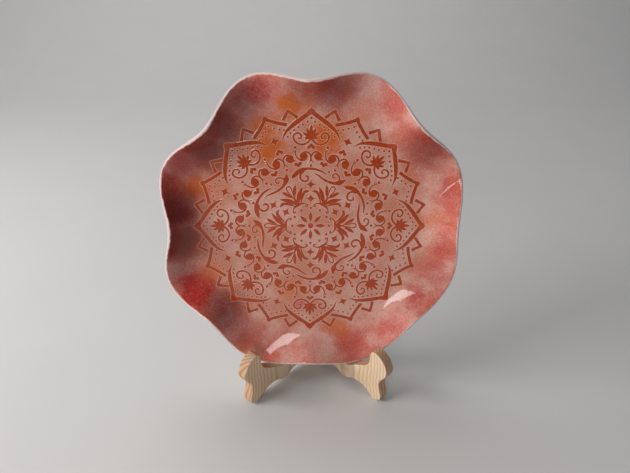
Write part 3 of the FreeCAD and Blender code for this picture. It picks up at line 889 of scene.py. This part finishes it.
def pine_board(name, side, material):
    """A board in its own frame: x forward from the hinge, y through the thickness, z up."""
    closest = 0.25  # nearer points are left out
    line = []
    for point in board_line():
        if not line or (Vector(point) - Vector(line[-1])).length > closest:
            line.append(point)
    near = side * BOARD_GAP
    far = side * (BOARD_GAP + BOARD_THICKNESS)
    count = len(line)
    points = [Vector((x, level, z)) * MM for level in (near, far) for x, z in line]
    ring = list(range(count))
    faces = [tuple(ring), tuple(count + index for index in reversed(ring))]
    for index in ring:
        after = (index + 1) % count
        faces.append((after, index, count + index, count + after))
    if side < 0:
        faces = [face[::-1] for face in faces]
    thing = make_object(name, points, faces)
    turn = -math.pi / 2 + side * HALF_OPENING
    thing.matrix_world = Matrix.Translation(HINGE) @ Matrix.Rotation(turn, 4, "Z")
    rounding = thing.modifiers.new("rounded_edges", "BEVEL")
    rounding.width = EDGE_ROUND * MM
    rounding.segments = 4
    rounding.limit_method = "ANGLE"
    rounding.angle_limit = math.radians(50)
    rounding.harden_normals = True
    thing.data.materials.append(material)
    return thing


def pine(name, seed):
    """Flat-sawn pine: growth rings about an upright pith behind the board, so that the faces
    show long flames and the edges show stripes."""
    shader = Shader(name)
    pith = shader.tree.nodes.new("ShaderNodeMapping")
    pith.inputs["Location"].default_value = (-52.0 - seed, 34.0, 0.0)
    pith.inputs["Rotation"].default_value = (math.radians(4), math.radians(7 + seed), 0)
    shader.put(pith.inputs["Vector"], shader.place)
    sway = shader.noise(38.0, detail=2.0, output="Color")
    sway = shader.vector("MULTIPLY", shader.vector("SUBTRACT", sway, (0.5, 0.5, 0.5)),
                         (7.0, 7.0, 0.0))
    wood = shader.vector("ADD", pith.outputs[0], sway)
    flat = shader.vector("MULTIPLY", wood, (1.0, 1.0, 0.0))
    rings = shader.math("FRACT", shader.math("DIVIDE", shader.vector("LENGTH", flat), 2.9))
    late = shader.math("MULTIPLY", shader.ramp(rings, 0.45, 0.86), shader.ramp(rings, 1.0, 0.90))
    stretched = shader.vector("MULTIPLY", shader.place, (3.0, 3.0, 0.12))
    fibre = shader.noise(1.6, place=stretched, detail=4.0, rough=0.7)
    tone = shader.ramp(shader.noise(45.0, detail=2.0), 0.3, 0.7)
    early = shader.mix(tone, srgb(230, 208, 178), srgb(222, 196, 162))
    facing = shader.tree.nodes.new("ShaderNodeSeparateXYZ")
    shader.put(facing.inputs[0], shader.tree.nodes["Texture Coordinate"].outputs["Normal"])
    cut_edge = shader.ramp(shader.math("ABSOLUTE", facing.outputs["Y"]), 0.75, 0.35)
    early = shader.mix(shader.math("MULTIPLY", cut_edge, 0.55), early, srgb(178, 134, 98))
    stripe = shader.math("MULTIPLY", late, shader.math("ADD", 0.42, shader.math(
        "MULTIPLY", cut_edge, 0.45)))
    colour = shader.mix(stripe, early, srgb(172, 112, 70))
    colour = shader.mix(shader.math("MULTIPLY", shader.ramp(fibre, 0.5, 0.8), 0.25), colour,
                        srgb(206, 160, 110))
    shader.put(shader.surface.inputs["Base Color"], colour)
    shader.surface.inputs["Roughness"].default_value = 0.62
    shader.bump(shader.math("ADD", fibre, shader.math("MULTIPLY", late, 0.5)), 0.05)
    return shader.material


def brass(name, colour, roughness):
    """Brass brushed along its height, with duller tarnished patches."""
    shader = Shader(name)
    brushed = shader.vector("MULTIPLY", shader.place, (6.0, 6.0, 0.6))
    scratch = shader.noise(1.2, place=brushed, detail=4.0, rough=0.7)
    tarnish = shader.ramp(shader.noise(9.0, detail=4.0), 0.4, 0.75)
    dull = tuple(channel * 0.55 for channel in colour[:3]) + (1.0,)
    shader.put(shader.surface.inputs["Base Color"],
               shader.mix(shader.math("MULTIPLY", tarnish, 0.5), colour, dull))
    shader.surface.inputs["Metallic"].default_value = 1.0
    shader.put(shader.surface.inputs["Roughness"],
               shader.ramp(scratch, 0.2, 0.8, roughness - 0.08, roughness + 0.14))
    shader.bump(scratch, 0.02)
    return shader.material


for side, word in ((-1, "left"), (1, "right")):
    board = pine_board(f"{word}_pine_board", side, pine(f"{word}_pine", side))
    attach(board, f"stand_{word}")
    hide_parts(f"{word}_side_panel")

SHEET_BRASS = brass("sheet_brass", srgb(214, 172, 96), 0.28)
SCREW_BRASS = brass("screw_brass", srgb(206, 160, 84), 0.34)


def dress(node, material, rounding):
    """Gives a CAD node its material and takes the sharpness off its edges."""
    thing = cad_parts[node]
    thing.data.materials.clear()
    thing.data.materials.append(material)
    soft = thing.modifiers.new("rounded_edges", "BEVEL")
    soft.width = rounding * MM
    soft.segments = 2
    soft.limit_method = "ANGLE"
    soft.angle_limit = math.radians(40)


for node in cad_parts:
    if "screw" in node or "pin" in node.split("_"):
        dress(node, SCREW_BRASS, 0.06)
    elif "leaf" in node:
        dress(node, SHEET_BRASS, 0.15)

# ------------------------------------------------------------- floor, light, camera


def studio():
    """A pale paper sweep: flat under the object, curving up into a wall behind it."""
    shader = Shader("pale_paper")
    fibre = shader.noise(120.0, detail=3.0)
    shader.put(shader.surface.inputs["Base Color"],
               shader.mix(fibre, srgb(210, 208, 206), srgb(204, 203, 202)))
    shader.surface.inputs["Roughness"].default_value = 0.9
    width, front, back, bend, top = 6.0, -3.0, 1.2, 1.4, 3.2
    profile = [(front, 0.0), (back, 0.0)]
    steps = 24
    for step in range(1, steps + 1):
        angle = math.pi / 2 * step / steps
        profile.append((back + bend * math.sin(angle), bend - bend * math.cos(angle)))
    profile.append((back + bend, top))
    points, faces = [], []
    for y, z in profile:
        points += [(-width, y, z), (width, y, z)]
    for index in range(len(profile) - 1):
        low = 2 * index
        faces.append((low, low + 1, low + 3, low + 2))
    floor = make_object("paper_sweep", points, faces)
    floor.data.materials.append(shader.material)


def area_light(name, place, target, size, power, colour, mirrored=False):
    """A soft light; only a mirrored one is seen in the glaze as a reflection."""
    data = bpy.data.lights.new(name, "AREA")
    data.shape = "RECTANGLE"
    data.size, data.size_y = size
    data.energy = power
    data.color = colour
    light = bpy.data.objects.new(name, data)
    bpy.context.scene.collection.objects.link(light)
    light.location = place
    light.visible_glossy = mirrored
    light.rotation_euler = (Vector(target) - Vector(place)).to_track_quat("-Z", "Y").to_euler()


def lighting():
    """A window at the left, one in front that glints in the glaze, and a light on the sweep."""
    area_light("side_window", (-1.30, -0.28, 0.80), (0.0, 0.0, 0.12), (0.9, 0.9), 20,
               (1.0, 0.99, 0.97))
    area_light("front_window", (-0.45, -1.62, 0.72), PLATE_CENTRE, (0.50, 0.62), 7.0,
               (1.0, 0.98, 0.98), mirrored=True)
    area_light("ceiling", (-0.5, 1.3, 2.5), (-0.3, 2.3, 0.4), (2.0, 1.6), 30, (1.0, 1.0, 1.0))
    world = bpy.data.worlds.new("room")
    world.use_nodes = True
    world.node_tree.nodes["Background"].inputs["Color"].default_value = (0.90, 0.93, 1.0, 1.0)
    world.node_tree.nodes["Background"].inputs["Strength"].default_value = 0.12
    bpy.context.scene.world = world


CAMERA_OFFSET = Vector((4.4, -466.3, 238.4)) * MM
CAMERA_PITCH = math.radians(28.23)
CAMERA_SWING = math.radians(-2.0)
LENS = 30.7


def camera():
    """The camera, placed from the plate's centre and pitched down at it."""
    data = bpy.data.cameras.new("camera")
    data.lens = LENS
    data.sensor_width = 36.0
    data.clip_start = 0.01
    view = bpy.data.objects.new("camera", data)
    bpy.context.scene.collection.objects.link(view)
    swing = Matrix.Rotation(CAMERA_SWING, 4, "Z")
    view.matrix_world = (
        Matrix.Translation(PLATE_CENTRE) @ swing @ Matrix.Translation(CAMERA_OFFSET)
        @ Matrix.Rotation(math.pi / 2 - CAMERA_PITCH, 4, "X"))
    bpy.context.scene.camera = view


studio()
lighting()
camera()
bpy.context.scene.view_settings.view_transform = "Standard"

bpy.context.view_layer.update()
